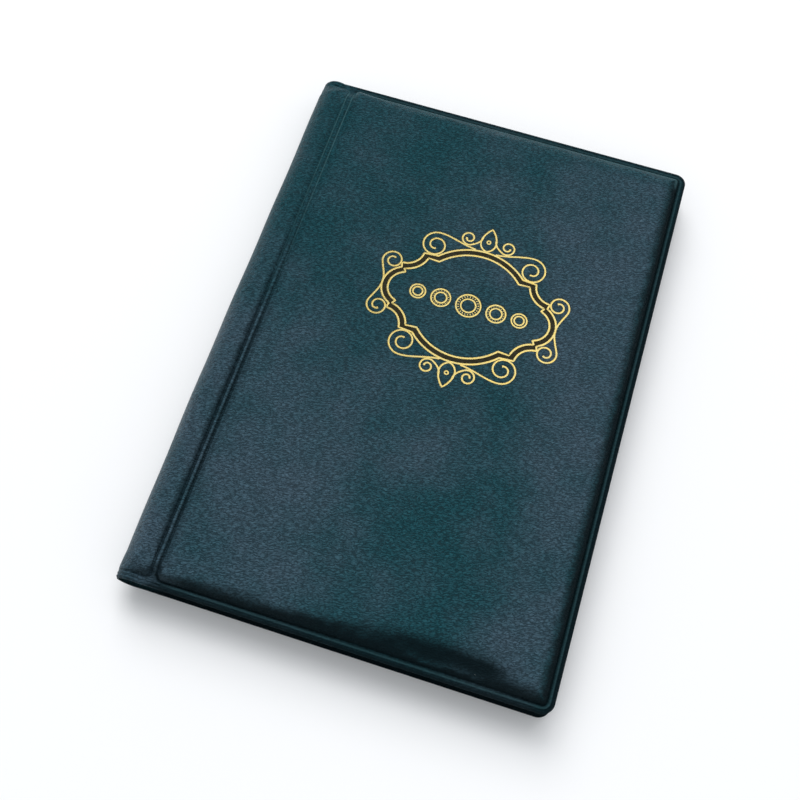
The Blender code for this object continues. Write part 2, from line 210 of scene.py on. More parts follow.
def outer_height(along, y):
    """Height of the skin's outer face above the cover's inner face."""
    strip, panel = strip_inside(along, y), panel_inside(along, y)
    edge = edge_inside(along, y)
    flare = end_flare(along)
    gutter = np.abs(along) - GUTTER
    ridge = RIDGE * bell(gutter, RIDGE_WIDTH) * smooth(Y_HALF - 1.5, Y_HALF - 5, np.abs(y))
    grooves = GROOVE_DEPTH * np.maximum(bell(strip, GROOVE_WIDTH), bell(panel, GROOVE_WIDTH))
    grooves = grooves * (1 - 0.6 * smooth(-0.3 * Y_HALF, 0.75 * Y_HALF, y) * bell(gutter, 3))
    grooves = grooves * (1 - 0.8 * np.sin(spine_angle(along)))
    bead = BEAD_DEPTH * bell(edge - BEAD, BEAD_WIDTH)
    rounding = EDGE_ROUND * (1 - smooth(0, EDGE_ROUND_WIDTH, edge))
    roll = GUTTER_ROLL + (PANEL_ROLL - GUTTER_ROLL) * smooth(3, 14, gutter)
    end_roll = STRIP_ROLL + STRIP_END_ROLL * smooth(Y_HALF - 13, Y_HALF - 4, np.abs(y))
    rise = np.maximum(swell(strip, end_roll), swell(panel, roll))
    filled = GUTTER_RISE * bell(gutter, 3.4) * smooth(0.2, 5.5, Y_HALF - FLANGE - np.abs(y))
    rise = rise + filled * (1 - rise)
    height = flare + FLANGE_TOP + ridge - grooves - bead - rounding
    height = height + (COVER - FLANGE_TOP - flare) * rise + softness(along, y, strip, panel)
    lowest = COVER - 0.05 * (1 - bell(COVER - height, 0.4))
    return np.where(along < 0, np.minimum(height, lowest), height)


def softness(along, y, strip, panel):
    """The crown, small swells, puckers and one crushed fold that soft padding has."""
    inside = np.maximum(panel, strip)
    body = smooth(0.5, 8, inside)
    swells = SWELL * waves(along, y, SWELL_LENGTH, 3) * body
    crown = CROWN * smooth(2, 45, panel)
    pucker_zone = smooth(0.4, 1.8, inside) * (1 - smooth(4, 9, inside))
    puckers = PUCKER * waves(along, y, PUCKER_LENGTH, 5) * pucker_zone
    return swells + crown + puckers - crushed_fold(along, y)


def crushed_fold(along, y):
    """Where the front cover's padding is pressed flat, beside the foot's weld."""
    from_foot = y + Y_HALF
    reach = smooth(PANEL_START + 30, PANEL_START + 92, along)
    reach = reach * (1 - smooth(SHEET_END - 24, SHEET_END - 6, along))
    centre = 5.4 + 1.6 * np.sin((along - PANEL_START - 62) / 18)
    return FOLD_DEPTH * reach * bell(from_foot - centre, FOLD_WIDTH)


def painted_highlight_lines(along, y):
    """Painted highlight lines: in the gutter towards the head, on the flange and on the head's
    roll.
    """
    strip, panel = strip_inside(along, y), panel_inside(along, y)
    edge = edge_inside(along, y)
    towards_head = smooth(-0.1 * Y_HALF, 0.8 * Y_HALF, y)
    grooves = np.maximum(bell(strip, MARK_WIDTH), bell(panel, MARK_WIDTH))
    grooves = 0.9 * grooves * towards_head * bell(np.abs(along) - GUTTER, 3)
    flange = 0.4 * bell(edge - BEAD_MARK, MARK_WIDTH) * smooth(GUTTER, GUTTER + 8, np.abs(along))
    rim = 0.6 * bell(panel - RIM_MARK, 0.5) * smooth(Y_HALF - 9, Y_HALF - 4, y)
    return np.maximum.reduce([grooves, flange, rim])


def painted_shade(along, y):
    """Painted shade: 0 on the padding's smooth top, up to 1 in grooves and on steep sides, in the
    crushed fold and on the welds.
    """
    step = 0.2
    slope_along = outer_height(along + step, y) - outer_height(along - step, y)
    slope_y = outer_height(along, y + step) - outer_height(along, y - step)
    slope_y = np.where(slope_y > 0, slope_y, 0.3 * slope_y)  # sides facing the head, where the light comes from, get less painted shade
    steep = smooth(0.08, 0.85, np.hypot(slope_along, slope_y) / (2 * step))
    # Painted shade in the crushed fold and along the welds.
    folded = smooth(0, 1.05, crushed_fold(along, y) / FOLD_DEPTH)
    welded = 1 - smooth(-0.6, 0.3, np.maximum(strip_inside(along, y), panel_inside(along, y)))
    welded = welded * smooth(GUTTER - 4, GUTTER + 4, np.abs(along))
    welded = welded * (1 - 0.3 * smooth(Y_HALF - 40, Y_HALF - 5, y))
    ridge = bell(np.abs(along) - GUTTER, 2) * smooth(2, 6, Y_HALF - np.abs(y))
    welded = welded * (1 - ridge)
    # Beside the gutter the steep sides get less painted shade, and less again towards the head.
    unshaded_share = 0.3 + 0.6 * smooth(-0.3 * Y_HALF, 0.6 * Y_HALF, y)
    unshaded_share = unshaded_share * smooth(GUTTER + 14, GUTTER + 2, np.abs(along))
    shade_amount = steep * (1 - unshaded_share) + folded + 0.9 * welded
    return np.clip(shade_amount, 0, 1) * (1 - painted_highlight_lines(along, y))


def liner_lift(along, y):
    """How far the gutter's weld draws the liner up between the cover's two ends."""
    spot = np.abs(along)
    window = smooth(BEND_START, BEND_START + LIFT_RAMP, spot)
    window = window * smooth(BEND_END, BEND_END - LIFT_RAMP, spot)
    return LINER_LIFT * window * smooth(1.0, 4.0, Y_HALF - FLANGE - np.abs(y))


def inner_height(along, y):
    """Height of the liner's inner face: welded to the flare at the spine's two ends."""
    welds = np.maximum(bell(strip_inside(along, y), 0.4), bell(panel_inside(along, y), 0.4))
    return inner_flare(along, y) + WELD_MARK * welds + liner_lift(along, y)


def skin_floor(along, y):
    return np.maximum(inner_flare(along, y) + WELD_FLOOR, outer_height(along, y) - SKIN)


def liner_top(along, y):
    return inner_flare(along, y) + LINER + liner_lift(along, y)


def foam_floor(along, y):
    return np.full_like(along, BOARD_HIGH[2] - MIDDLE - INNER_FACE + FOAM_TO_BOARD)


def foam_top(along, y):
    return np.maximum(
        skin_floor(along, y) - SKIN_TO_FOAM, foam_floor(along, y) + THINNEST_FOAM
    )


def place(along, y, height):
    """Points in the album's frame for places on the sheet."""
    angle = spine_angle(along)
    reach = INNER_FACE + height
    x = ROUND_X + np.maximum(0, np.abs(along) - QUARTER) - reach * np.sin(angle)
    side = np.where(along < 0, -1, 1)
    return np.stack([x, y, MIDDLE + side * reach * np.cos(angle)], axis=-1)


def painted_sheen(along, y):
    """Painted sheen: how much paler and bluer a place is painted where the light's reflection lay,
    most along the fore edge, spine and low gutter.
    """
    x = np.abs(along) - SHEET_END
    fore_edge = 0.85 * smooth(-62, -14, x + 9 * np.sin(y / 31))
    low_sheen = 0.9 * bell(np.hypot((x + 103) / 34, (y + 62) / 62), 1.0)
    upper = 0.55 * bell(np.hypot((x + 48) / 38, (y - 46) / 34), 1.0)
    middle = 0.8 * bell(np.hypot((x + 62) / 24, (y + 33) / 20), 1.0)
    spine = 0.85 * bell(x + 132, 16) * smooth(-50, 30, -y)
    sheen_gap = 0.75 * bell(np.hypot((x + 44) / 24, (y + 66) / 30), 1.0)
    sheen_patches = np.clip(np.maximum.reduce([fore_edge, low_sheen, upper, middle, spine]) - sheen_gap, 0, 1)
    side = smooth(1.5, 5, SHEET_END - FLANGE - np.abs(along))
    return sheen_patches * side * smooth(1.5, 10, Y_HALF - FLANGE - y)


# --- meshes -------------------------------------------------------------------------------------


def lines_between(low, high, fine_ranges, fine, coarse):
    """Positions from low to high: close together in the fine ranges, wider apart elsewhere."""
    found = [low]
    while found[-1] < high:
        here = found[-1]
        near = any(a <= here < b for a, b in fine_ranges)
        step = fine if near else coarse
        starts = [a for a, b in fine_ranges if here < a < here + step]
        found.append(min(starts) if starts and not near else here + step)
    found[-1] = high
    return np.array(found)


def round_corners(x, y, x_high, y_half, radius):
    """Squeezes a grid's two corners at x_high into quarter circles."""
    a, b = x - (x_high - radius), np.abs(y) - (y_half - radius)
    corner = (a > 0) & (b > 0)
    a, b = np.where(corner, a, 1), np.where(corner, b, 1)
    reach = np.maximum(a, b)
    turn = math.pi / 4 * np.where(a >= b, b / a, 2 - a / b)
    new_x = x_high - radius + reach * np.cos(turn)
    new_y = np.sign(y) * (y_half - radius + reach * np.sin(turn))
    return np.where(corner, new_x, x), np.where(corner, new_y, y)


def shell(name, along, y, top, floor):
    """A closed shell of the sheet between two heights, with each point's place on the sheet."""
    outer, inner = place(along, y, top(along, y)), place(along, y, floor(along, y))
    rows, columns = along.shape
    index = np.arange(rows * columns).reshape(rows, columns)
    upper = np.stack([index[:-1, :-1], index[1:, :-1], index[1:, 1:], index[:-1, 1:]], -1)
    upper = upper.reshape(-1, 4)
    rim = np.concatenate([index[0, :-1], index[:-1, -1], index[-1, :0:-1], index[:0:-1, 0]])
    after = np.roll(rim, -1)
    count = rows * columns
    walls = np.stack([rim, after, after + count, rim + count], -1)
    faces = np.concatenate([upper, upper[:, ::-1] + count, walls])
    points = np.concatenate([outer.reshape(-1, 3), inner.reshape(-1, 3)]) * MM
    mesh = bpy.data.meshes.new(name)
    mesh.from_pydata(points.tolist(), [], faces.tolist())
    places = np.stack([along, y, np.zeros_like(y)], -1).reshape(-1, 3)
    store(mesh, "sheet", np.concatenate([places] * 2))
    # painted shade, for the material
    store(mesh, "hollow", np.tile(painted_shade(along, y).ravel(), 2))
    # painted sheen, for the material
    store(mesh, "painted_sheen", np.tile(painted_sheen(along, y).ravel(), 2))
    # painted highlight lines, for the material
    store(mesh, "painted_highlight", np.tile(painted_highlight_lines(along, y).ravel(), 2))
    return finish_piece(name, mesh)


def store(mesh, name, values):
    """Stores a number or a vector for each point, which a material can read."""
    kind, field = ("FLOAT", "value") if values.ndim == 1 else ("FLOAT_VECTOR", "vector")
    layer = mesh.attributes.new(name, kind, "POINT")
    layer.data.foreach_set(field, values.astype(np.float32).ravel())


def finish_piece(name, mesh, angle=55):
    """A smooth-shaded object whose faces point outwards."""
    if signed_volume(mesh) < 0:
        mesh.flip_normals()
    mesh.shade_smooth()
    mesh.set_sharp_from_angle(angle=math.radians(angle))
    obj = bpy.data.objects.new(name, mesh)
    bpy.context.scene.collection.objects.link(obj)
    return obj


def signed_volume(mesh):
    mesh.calc_loop_triangles()
    corners = np.zeros(len(mesh.loop_triangles) * 3, np.int32)
    mesh.loop_triangles.foreach_get("vertices", corners)
    points = np.zeros(len(mesh.vertices) * 3, np.float32)
    mesh.vertices.foreach_get("co", points)
    a, b, c = points.reshape(-1, 3)[corners].reshape(-1, 3, 3).transpose(1, 0, 2)
    return float(np.einsum("ij,ij->i", a, np.cross(b, c)).sum())


def edge_lines(inset=0.0, fine=0.3, coarse=3.0, also=(0, 0)):
    """Lines across the album's height, close together near both of its ends."""
    half, deep = Y_HALF - inset, 9.5
    ends = [(-half, deep - half), (half - deep, half), also]
    return lines_between(-half, half, ends, fine, coarse)


def strip_piece(name, alongs, top, floor):
    """A part of the sheet as long as the album is high, between the given lines."""
    along, y = np.meshgrid(alongs, edge_lines(), indexing="ij")
    return shell(name, along, y, top, floor)


def panel_piece(name, side, top, floor, fine=0.4, inset=0.0, x_fine=(0, 0), y_fine=(0, 0)):
    """A cover's panel, as a grid with finer stretches where there is detail."""
    low, high = BEND_END, SHEET_END - inset
    alongs = lines_between(low, high, [(low, low + 6), (high - 10, high), x_fine], fine, 2.0)
    alongs = np.insert(alongs, 1, low + SEAM)
    ys = edge_lines(inset, fine, 2.0, y_fine)
    along, y = np.meshgrid(alongs, ys, indexing="ij")
    radius = max(CORNER - inset, 1.0)
    along, y = round_corners(along, y, high, Y_HALF - inset, radius)
    return shell(name, along * side, y, top, floor)


# --- the foil ornament --------------------------------------------------------------------------

ORNAMENT_ALONG = QUARTER + 78.7 - MIDDLE
ORNAMENT_Y = Y_HALF - 78.0
ORNAMENT_REACH = (37, 35)  # half of the ornament's width and height, with a margin
LINE = 0.72  # width of the frame's lines
SCROLL_LINE, BEAD_LINE, RING_LINE, STROKE_LINE = (LINE * w for w in (0.92, 0.8, 0.85, 0.5))
BAND = 2.2  # between the two lines of the frame
LINE_PRESS, BAND_PRESS = 0.16, 0.24  # depth of the stamp's hollow under a line and in the band
LINE_SCORCH = 0.4  # browning under a line, where the band's is 1
COIN_RADII = (3.0, 3.7, 4.6, 3.7, 3.0)
COIN_GAP = 1.5
EYE_SWELL = (1.05, 1.15, 1.3, 1.45, 1.5, 1.35, 0.9)  # of a scroll's width over its last points
RIBBON = ((1, -0.12), (0.88, 0.03), (0, 0.06), (-0.88, 0.03), (-1, -0.12))  # a foil line's section


def arc(cx, cy, radius, start, end, step=0.35):
    count = max(3, int(abs(math.radians(end - start)) * radius / step) + 2)
    turns = np.radians(np.linspace(start, end, count))
    return np.stack([cx + radius * np.cos(turns), cy + radius * np.sin(turns)], -1)


def spiral(cx, cy, r_start, r_end, start, sweep):
    """A scroll's curl: its radius shrinks evenly as it turns through sweep degrees."""
    count = int(abs(math.radians(sweep)) * r_start / 0.28)
    share = np.linspace(0, 1, count)
    turns = np.radians(start + sweep * share)
    radius = r_start + (r_end - r_start) * share
    return np.stack([cx + radius * np.cos(turns), cy + radius * np.sin(turns)], -1)


def bezier(a, b, c, d, count=26):
    t = np.linspace(0, 1, count)[:, None]
    a, b, c, d = (np.array(p, float) for p in (a, b, c, d))
    u = 1 - t
    return u**3 * a + 3 * u * u * t * b + 3 * u * t * t * c + t**3 * d


def joined(*parts):
    """One line through several, without the doubled points where they meet."""
    points = np.concatenate(parts)
    step = np.hypot(*np.diff(points, axis=0).T)
    return points[np.concatenate([[True], step > 0.02])]


def frame_quarter(inset):
    """The frame's upper right quarter: crown arc, step, hollow arc, notch and side arc."""
    crown = 21.25 - inset
    hollow = 6.3 + inset
    side = 8.2 - inset
    foot = math.degrees(math.asin((15.2 - 0.45 * inset) / crown))
    top = arc(0, 0.75, crown, 90, 90 - foot)
    waist = arc(26.5, 15.5, hollow, 183 + 4.5 * inset, 270 - 4.5 * inset)
    notch = math.degrees(math.asin(min(1, (7.4 - 0.75 * inset) / side)))
    flank = arc(22.5, 0, side, notch, 0)
    return joined(top, waist, flank)


def four_ways(quarter):
    """A closed line from its upper right quarter, which runs from the top to the right."""
    right = joined(quarter, (quarter * (1, -1))[::-1])
    return joined(right, (right * (-1, 1))[::-1])[:-1]


def scroll_lines():
    """The scrolls of one quarter, each starting on the frame and ending in a curl."""
    shoulder = joined(
        bezier((3.6, 22.1), (8.2, 22.4), (12.8, 24.7), (16.96, 24.7)),
        spiral(17.4, 19.6, 5.1, 1.35, 95, -560),
    )
    flank = joined(
        bezier((30.75, 0.9), (30.9, 3.2), (32.4, 5.7), (33.17, 7.9)),
        spiral(29.6, 9.2, 3.8, 1.15, -20, 500),
    )
    crest = joined(
        bezier((2.35, 27.9), (2.3, 25.9), (3.6, 24.6), (5.6, 23.5)),
        spiral(7.0, 25.9, 2.8, 0.85, -120, 480),
    )
    return [shoulder, flank, crest]


def finial():
    side = bezier((0, 22.3), (3.9, 23.7), (3.3, 28.2), (0, 31.6))
    return joined(side, (side * (-1, 1))[::-1])[:-1]


def coin_lines():
    """A row of plain coins: a rim, an inner ring and short reeding strokes between them."""
    total = 2 * sum(COIN_RADII) + COIN_GAP * (len(COIN_RADII) - 1)
    x = -total / 2
    rings, strokes = [], []
    for radius in COIN_RADII:
        cx = x + radius
        rings.append(arc(cx, 0, radius - LINE / 2, 0, 360)[:-1])
        rings.append(arc(cx, 0, radius * 0.56, 0, 360)[:-1])
        count = int(radius * 5)
        for turn in np.linspace(0, 2 * math.pi, count, endpoint=False):
            ray = np.array([math.cos(turn), math.sin(turn)])
            ends = (radius * 0.70, radius - LINE - 0.15)
            strokes.append(np.array([(cx, 0) + ray * e for e in ends]))
        x += 2 * radius + COIN_GAP
    return rings, strokes


def ornament_lines():
    """Every foil line as (points, width, closed), about the ornament's middle."""
    found = [(four_ways(frame_quarter(inset)), LINE, True) for inset in (0, BAND)]
    for line in scroll_lines():
        for turn in ((1, 1), (-1, 1), (1, -1), (-1, -1)):
            found.append((line * turn, SCROLL_LINE, False))
    drop = finial()
    bead = arc(0, 26.2, 0.62, 0, 360)[:-1]
    for turn in ((1, 1), (1, -1)):
        found.append((drop * turn, SCROLL_LINE, True))
        found.append((bead * turn, BEAD_LINE, True))
    rings, strokes = coin_lines()
    found += [(ring, RING_LINE, True) for ring in rings]
    found += [(stroke, STROKE_LINE, False) for stroke in strokes]
    return found


def dense(points, closed, step=0.2):
    """Points along a line, at most a step apart."""
    if closed:
        points = np.concatenate([points, points[:1]])
    found = []
    for a, b in zip(points[:-1], points[1:]):
        count = max(1, int(np.hypot(*(b - a)) / step))
        found += [a + (b - a) * i / count for i in range(count)]
    return found + [points[-1]]


def tree_of(lines):
    points = [p for line, closed in lines for p in dense(line, closed)]
    tree = kdtree.KDTree(len(points))
    for i, (x, y) in enumerate(points):
        tree.insert((x, y, 0), i)
    tree.balance()
    return tree


def distances(tree, x, y):
    """Distance of each grid point to the nearest line, where it is near the ornament."""
    found = np.full(x.shape, 99.0)
    near = (np.abs(x) < ORNAMENT_REACH[0]) & (np.abs(y) < ORNAMENT_REACH[1])
    for i in np.argwhere(near):
        key = tuple(i)
        found[key] = tree.find((x[key], y[key], 0))[2]
    return found


class Pressing:
    """The hollow that the hot foil stamp leaves in the front cover."""

    def __init__(self, lines):
        self.lines = tree_of([(points, closed) for points, width, closed in lines])
        self.band = tree_of([(four_ways(frame_quarter(BAND / 2)), True)])

    def depth(self, along, y):
        """The hollow's depth, and how strongly the hot stamp browns the skin there."""
        x, y = along - ORNAMENT_ALONG, y - ORNAMENT_Y
        line = 1 - smooth(0.3, 0.85, distances(self.lines, x, y))
        band = 1 - smooth(0.75, 1.5, distances(self.band, x, y))
        hollow = np.maximum(LINE_PRESS * line, BAND_PRESS * band)
        return hollow, np.maximum(LINE_SCORCH * line, band)


def ribbon_points(points, width, closed, height_at):
    """A foil line's cross-sections, from the left foot over the top. An open line swells and
    rounds off at its last end, as a scroll's eye does."""
    ahead, behind = np.roll(points, -1, 0), np.roll(points, 1, 0)
    if not closed:
        ahead[-1], behind[0] = points[-1], points[0]
    along = ahead - behind
    along /= np.hypot(*along.T)[:, None]
    across = np.stack([-along[:, 1], along[:, 0]], -1)
    spread = np.full(len(points), width / 2)
    if not closed and len(points) > 12:
        spread[-len(EYE_SWELL):] *= np.array(EYE_SWELL)
    base = height_at(points)
    rows = []
    for share, lift in RIBBON:
        flat = points + across * (spread * share)[:, None]
        rows.append(np.concatenate([flat, (base + lift)[:, None]], 1))
    return np.stack(rows, 1)


def foil_piece(lines, height_at):
    """All the foil lines as one object of closed ribbons lying on the cover."""
    points, faces = [], []
    for line, width, closed in lines:
        rings = ribbon_points(line, width, closed, height_at)
        start, count, size = len(points), len(rings), rings.shape[1]
        points += rings.reshape(-1, 3).tolist()
        for i in range(count if closed else count - 1):
            here, there = start + i * size, start + (i + 1) % count * size
            for j in range(size):
                k = (j + 1) % size
                faces.append((here + j, here + k, there + k, there + j))
        if not closed:
            last = start + (count - 1) * size
            faces.append(tuple(start + j for j in reversed(range(size))))
            faces.append(tuple(last + j for j in range(size)))
    mesh = bpy.data.meshes.new("foil_ornament")
    places = np.array(points)
    sheet = places.copy()
    sheet[:, 0] += ORNAMENT_ALONG
    sheet[:, 1] += ORNAMENT_Y
    places[:, 0] += ORNAMENT_ALONG - QUARTER + ROUND_X
    places[:, 1] += ORNAMENT_Y
    places[:, 2] += MIDDLE + INNER_FACE
    mesh.from_pydata((places * MM).tolist(), [], faces)
    store(mesh, "sheet", sheet)
    return finish_piece("foil_ornament", mesh, angle=50)


# --- materials ----------------------------------------------------------------------------------

GRAIN_TURN = -15  # of the grain's creases from the album's width, in degrees
# near-black teal of the painted shade in grooves, on steep sides and in the fold
SHADE_COLOUR = (0.0004, 0.0050, 0.0072)
SCORCH = (0.035, 0.025, 0.007)  # where the hot stamp has browned the skin
# pale teal of the painted highlight lines
HIGHLIGHT_COLOUR = (0.060, 0.150, 0.165)


def add_node(tree, kind, inputs=None, **settings):
    """A shader node. Each input is a value or another node's output."""
    node = tree.nodes.new(f"ShaderNode{kind}")
    for key, value in settings.items():
        setattr(node, key, value)
    for key, value in (inputs or {}).items():
        if isinstance(value, bpy.types.NodeSocket):
            tree.links.new(value, node.inputs[key])
        else:
            node.inputs[key].default_value = value
    return node


def start_material(name, roughness=0.5, metallic=0.0):
    material = bpy.data.materials.new(name)
    material.use_nodes = True
    tree = material.node_tree
    shader = tree.nodes["Principled BSDF"]
    shader.inputs["Roughness"].default_value = roughness
    shader.inputs["Metallic"].default_value = metallic
    return material, tree, shader


def math_node(tree, operation, a, b=0.0):
    return add_node(tree, "Math", {0: a, 1: b}, operation=operation).outputs[0]


def sum_node(tree, value, share, other):
    """The value times its share, plus another value."""
    sockets = {0: value, 1: share, 2: other}
    return add_node(tree, "Math", sockets, operation="MULTIPLY_ADD").outputs[0]


def ramp(tree, value, low, high, to_low=0.0, to_high=1.0):
    """A value carried from one range to another, smoothly and without going past it."""
    settings = {"Value": value, "From Min": low, "From Max": high}
    settings.update({"To Min": to_low, "To Max": to_high})
    return add_node(tree, "MapRange", settings, interpolation_type="SMOOTHSTEP").outputs[0]


def noise(tree, vector, scale, detail=2.0, roughness=0.5):
    settings = {"Vector": vector, "Scale": scale, "Detail": detail, "Roughness": roughness}
    return add_node(tree, "TexNoise", settings)


def scaled(tree, vector, scale, turn=0.0):
    settings = {"Vector": vector, "Scale": scale, "Rotation": (0, 0, math.radians(turn))}
    return add_node(tree, "Mapping", settings).outputs[0]


def blend_colours(tree, factor, a, b, kind="MIX"):
    mix = add_node(tree, "Mix", data_type="RGBA", blend_type=kind)
    for socket, value in ((mix.inputs[0], factor), (mix.inputs[6], a), (mix.inputs[7], b)):
        if isinstance(value, bpy.types.NodeSocket):
            tree.links.new(value, socket)
        elif isinstance(value, tuple):
            socket.default_value = (*value, 1)
        else:
            socket.default_value = value
    return mix.outputs[2]


def sheet_vector(tree):
    return add_node(tree, "Attribute", attribute_name="sheet").outputs["Vector"]


def grain(tree, vector):
    """Height of an embossed leather grain, from 0 in its creases to 1 on its pebbles."""
    warp = noise(tree, vector, 0.55, 3).outputs["Color"]
    shift = add_node(tree, "VectorMath", {0: warp, 1: (0.5, 0.5, 0.5)}, operation="SUBTRACT")
    shift = add_node(tree, "VectorMath", {0: shift.outputs[0], "Scale": 1.5}, operation="SCALE")
    moved = add_node(tree, "VectorMath", {0: vector, 1: shift.outputs[0]}, operation="ADD")
    turned = scaled(tree, moved.outputs[0], (1, 1, 1), turn=GRAIN_TURN)
    drawn = scaled(tree, turned, (0.72, 1.85, 1.0))
    cells = add_node(
        tree, "TexVoronoi", {"Vector": drawn, "Scale": 1.0}, feature="DISTANCE_TO_EDGE"
    )
    pebble = ramp(tree, cells.outputs["Distance"], 0.0, 0.26)
    wrinkled = scaled(tree, turned, (0.60, 2.3, 1.0))
    wrinkle = ramp(tree, noise(tree, wrinkled, 1.0, 3, 0.55).outputs["Fac"], 0.38, 0.62)
    part = math_node(tree, "MULTIPLY", pebble, 0.45)
    return sum_node(tree, wrinkle, 0.55, part)


def leather(name, deep, sheen_colour, roughness, depth):
    """Soft PVC with an embossed grain: paler, bluer and glossier under a painted sheen, with
    painted shade and painted highlight lines.
    """
    material, tree, shader = start_material(name)
    vector = sheet_vector(tree)
    height = grain(tree, vector)
    # Painted sheen: the sheen patches and a large mottle take the colour from deep teal towards
    # the paler sheen colour.
    sheen_patches = add_node(tree, "Attribute", attribute_name="painted_sheen").outputs["Fac"]
    mottle = noise(tree, vector, 0.045, 6, 0.6).outputs["Fac"]
    tone_mix = sum_node(tree, mottle, 2.2, math_node(tree, "SUBTRACT", sheen_patches, 1.07))
    tone_mix = ramp(tree, tone_mix, -0.35, 1.35)
    colour = blend_colours(tree, tone_mix, deep, sheen_colour)
    # Painted shade in the grain's creases and painted highlight on its pebbles: the colour follows
    # the grain's height.
    grain_shading = ramp(tree, height, 0.05, 0.95, 0.52, 1.46)
    colour = blend_colours(tree, 1.0, colour, grain_shading, kind="MULTIPLY")
    # Painted shade: grooves, steep sides, the crushed fold and the welds darken towards near-black
    # teal.
    hollow = add_node(tree, "Attribute", attribute_name="hollow").outputs["Fac"]
    colour = blend_colours(tree, math_node(tree, "MULTIPLY", hollow, 0.95), colour, SHADE_COLOUR)
    # Painted highlight lines along the welds, on the flange and on the head's roll.
    painted_highlight = add_node(tree, "Attribute", attribute_name="painted_highlight").outputs["Fac"]
    colour = blend_colours(tree, math_node(tree, "MULTIPLY", painted_highlight, 0.8), colour, HIGHLIGHT_COLOUR)
    press = add_node(tree, "Attribute", attribute_name="press").outputs["Fac"]
    colour = blend_colours(tree, math_node(tree, "MULTIPLY", press, 0.92), colour, SCORCH)
    tree.links.new(colour, shader.inputs["Base Color"])
    gloss = ramp(tree, tone_mix, 0.0, 1.0, roughness + 0.12, roughness)
    gloss = sum_node(tree, hollow, 0.3, gloss)
    tree.links.new(gloss, shader.inputs["Roughness"])
    shader.inputs["Specular IOR Level"].default_value = 0.28
    shader.inputs["Specular Tint"].default_value = (0.62, 0.90, 1.0, 1)
    bump = add_node(tree, "Bump", {"Height": height, "Distance": depth * MM, "Strength": 1.0})
    tree.links.new(bump.outputs[0], shader.inputs["Normal"])
    return material


def foil(name):
    """Gold stamping foil that takes up some of the grain under it."""
    material, tree, shader = start_material(name, metallic=0.7)
    vector = sheet_vector(tree)
    tone_mix = noise(tree, vector, 0.9, 4, 0.6).outputs["Fac"]
    colour = blend_colours(
        tree, ramp(tree, tone_mix, 0.3, 0.7), (0.70, 0.52, 0.13), (0.95, 0.79, 0.31)
    )
    tree.links.new(colour, shader.inputs["Base Color"])
    tree.links.new(ramp(tree, tone_mix, 0.25, 0.75, 0.30, 0.48), shader.inputs["Roughness"])
    height = grain(tree, vector)
    bump = add_node(tree, "Bump", {"Height": height, "Distance": 0.02 * MM, "Strength": 0.7})
    tree.links.new(bump.outputs[0], shader.inputs["Normal"])
    return material


# --- the covers ---------------------------------------------------------------------------------


def cover_pieces(skin_paint, liner_paint, pad_paint):
    lines = ornament_lines()
    pressing = Pressing(lines)

    def pressed_height(along, y):
        return outer_height(along, y) - pressing.depth(along, y)[0]

    def foil_height(points):
        return pressed_height(points[:, 0] + ORNAMENT_ALONG, points[:, 1] + ORNAMENT_Y)

    stamped = {
        "x_fine": (ORNAMENT_ALONG - 36, ORNAMENT_ALONG + 36),
        "y_fine": (ORNAMENT_Y - 34, ORNAMENT_Y + 34),
    }
    for side, sign, top, detail in (
        ("front", 1, pressed_height, stamped),
        ("back", -1, outer_height, {}),
    ):
        body = f"{side}_cover"
        skin = panel_piece(f"{side}_cover_skin", sign, top, skin_floor, **detail)
        dress(skin, skin_paint, "cover_skin", f"{side}_panel_skin")
        liner = panel_piece(f"{side}_cover_liner", sign, liner_top, inner_height, fine=0.6)
        dress(liner, liner_paint, "cover_liner", f"{side}_panel_liner")
        foam = panel_piece(
            f"{side}_cover_foam", sign, foam_top, foam_floor, fine=0.8, inset=FOAM_INSET
        )
        dress(foam, pad_paint, "foam", f"{side}_panel_foam")
        for piece in (skin, liner, foam):
            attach(piece, body)
        if side == "front":
            mark_pressing(skin, pressing)
    ornament = foil_piece(lines, foil_height)
    dress(ornament, foil("gold_foil"), "gold_foil")
    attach(ornament, "front_cover")


def mark_pressing(piece, pressing):
    """Stores, for the material, how strongly the hot stamp has browned each point of the skin."""
    places = np.zeros(len(piece.data.vertices) * 3, np.float32)
    piece.data.attributes["sheet"].data.foreach_get("vector", places)
    along, y = places.astype(float).reshape(-1, 3)[:, :2].T
    store(piece.data, "press", pressing.depth(along, y)[1])


def dress(piece, material, slot, *nodes):
    piece.data.materials.clear()
    piece.data.materials.append(material)
    if nodes:
        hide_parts(*nodes)


def seamed(positions):
    """The same positions, with a very thin first and last row."""
    return np.concatenate([
        [positions[0], positions[0] + SEAM],
        positions[1:-1],
        [positions[-1] - SEAM, positions[-1]],
    ])


def spine_pieces(skin_paint, liner_paint):
    """The soft padding round the spine in two halves, one on each side of its outermost line."""
    alongs = seamed(np.linspace(0, BEND_START, 26))
    for side, sign, body in (("front", 1, "front_shoulder"), ("back", -1, "back_cover")):
        skin = strip_piece(f"{side}_spine_skin", sign * alongs, outer_height, skin_floor)
        liner = strip_piece(f"{side}_spine_liner", sign * alongs, liner_top, inner_height)
        middle_skin = ["spine_skin", "spine_foam"] if side == "front" else []
        middle_liner = ["spine_liner"] if side == "front" else []
        dress(skin, skin_paint, "cover_skin", *middle_skin)
        dress(liner, liner_paint, "cover_liner", *middle_liner)
        for piece in (skin, liner):
            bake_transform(piece)


